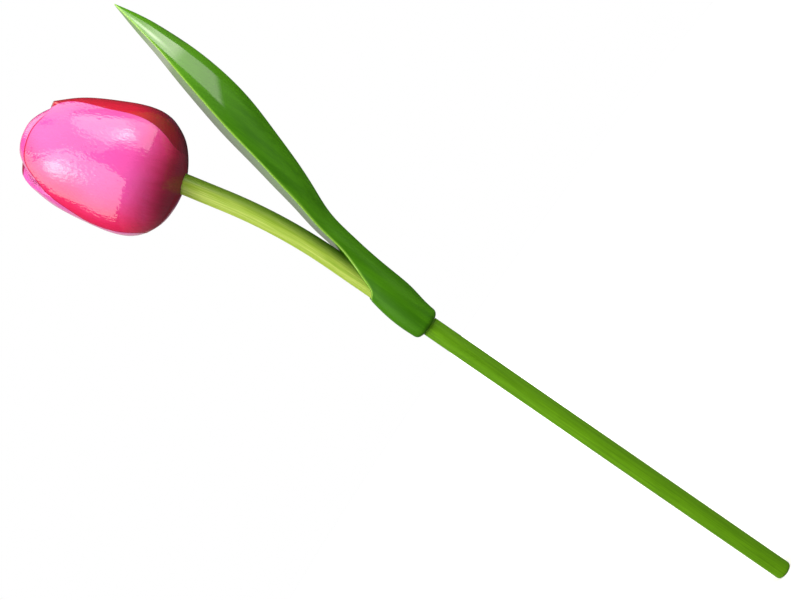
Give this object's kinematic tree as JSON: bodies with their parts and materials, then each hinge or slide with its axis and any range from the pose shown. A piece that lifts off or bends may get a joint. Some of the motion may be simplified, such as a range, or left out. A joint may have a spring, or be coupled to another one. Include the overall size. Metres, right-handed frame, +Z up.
{
  "type": "wooden tulip ornament",
  "caption": "Carved and painted wooden tulip with a closed pink flower head on a bent green stem, a long leaf whose sheath holds the stem, and a straight lower stem.",
  "frame": {"origin": "centre of the sawn foot of the straight lower stem", "axes": "+Z up the lower stem towards the flower, -X towards the flower head, +X towards the leaf, -Y towards the viewer on the show side"},
  "size_m": [0.0817, 0.0529, 0.3564],
  "materials": {
    "petal_paint": "gloss varnish over brushed pink and crimson paint",
    "light_stem_paint": "satin yellow-green stain with the wood's grain showing",
    "leaf_paint": "gloss varnish over deep green paint",
    "dark_stem_paint": "satin mid-green stain with streaks along the grain"
  },
  "bodies": {
    "root": {"flower_head": "petal_paint", "upper_stem": "light_stem_paint", "leaf": "leaf_paint", "lower_stem": "dark_stem_paint"}
  },
  "joints": []
}
